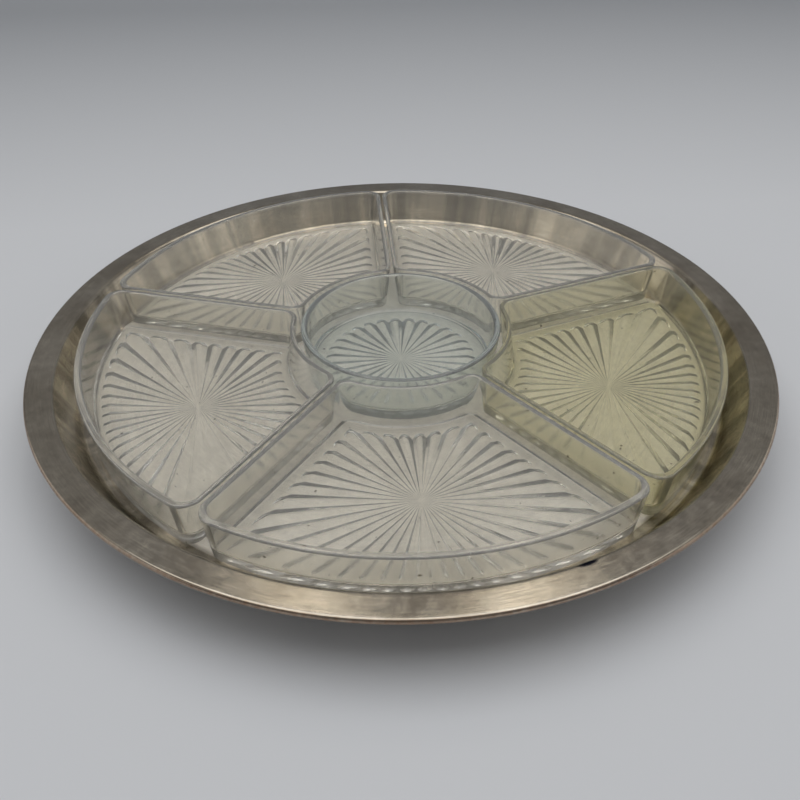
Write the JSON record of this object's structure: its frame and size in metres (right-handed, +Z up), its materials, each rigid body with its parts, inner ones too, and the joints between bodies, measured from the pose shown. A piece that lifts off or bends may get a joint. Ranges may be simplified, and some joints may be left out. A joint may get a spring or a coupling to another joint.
{
  "type": "lazy susan turntable",
  "caption": "Round metal serving tray on a low ball-bearing swivel, holding loose fan-shaped pressed-glass dishes around a round glass centre bowl.",
  "frame": {"origin": "middle of the circle that the foot pads stand on, at table height, on the turning axis", "axes": "+Z up along the turning axis, -Y through the middle of the front dish, +X to its right"},
  "size_m": [0.4059, 0.406, 0.0435],
  "materials": {
    "silver_plate": "satin, worn silver plate",
    "foot_steel": "zinc-plated pressed steel",
    "race_steel": "bright pressed steel",
    "ball_steel": "polished steel",
    "cage_brass": "stamped brass",
    "fastener_steel": "zinc plated",
    "wire_copper": "drawn copper-coloured wire",
    "pad_rubber": "matte black",
    "bush_nylon": "natural nylon",
    "glass_clear": "pressed, pale green tint",
    "glass_yellow": "pressed, yellow tint",
    "glass_blue": "pressed, pale blue tint"
  },
  "bodies": {
    "base": {"foot": "foot_steel", "foot_pads": "pad_rubber", "lower_race": "race_steel", "race_rivets": "fastener_steel", "pivot_stud": "fastener_steel", "stud_washer": "fastener_steel", "stud_nut": "fastener_steel"},
    "ball_ring": {"ball_cage": "cage_brass", "bearing_balls": "ball_steel"},
    "tray": {"tray": "silver_plate", "rim_wire": "wire_copper", "upper_race": "race_steel", "pivot_bush": "bush_nylon", "weld_studs": "wire_copper", "weld_stud_nuts": "fastener_steel"},
    "dish_front": {"dish_front": "glass_clear"},
    "dish_right": {"dish_right": "glass_yellow"},
    "dish_rear_right": {"dish_rear_right": "glass_clear"},
    "dish_rear_left": {"dish_rear_left": "glass_clear"},
    "dish_left": {"dish_left": "glass_clear"},
    "centre_bowl": {"centre_bowl": "glass_blue"}
  },
  "joints": [
    {"name": "tray_spin", "type": "hinge", "parent": "base", "child": "tray", "pos_m": [0, 0, 0], "axis": [0, 0, 1], "continuous": true},
    {"name": "ball_ring_orbit", "type": "hinge", "parent": "base", "child": "ball_ring", "pos_m": [0, 0, 0], "axis": [0, 0, 1], "continuous": true},
    {"name": "dish_front_lift", "type": "slide", "parent": "tray", "child": "dish_front", "axis": [0, 0, 1], "range_m": [0, 0.06]},
    {"name": "dish_right_lift", "type": "slide", "parent": "tray", "child": "dish_right", "axis": [0, 0, 1], "range_m": [0, 0.06]},
    {"name": "dish_rear_right_lift", "type": "slide", "parent": "tray", "child": "dish_rear_right", "axis": [0, 0, 1], "range_m": [0, 0.06]},
    {"name": "dish_rear_left_lift", "type": "slide", "parent": "tray", "child": "dish_rear_left", "axis": [0, 0, 1], "range_m": [0, 0.06]},
    {"name": "dish_left_lift", "type": "slide", "parent": "tray", "child": "dish_left", "axis": [0, 0, 1], "range_m": [0, 0.06]},
    {"name": "centre_bowl_lift", "type": "slide", "parent": "tray", "child": "centre_bowl", "axis": [0, 0, 1], "range_m": [0, 0.06]}
  ],
  "couplings": [
    {"joint": "ball_ring_orbit", "follows": "tray_spin", "ratio": 0.5}
  ]
}
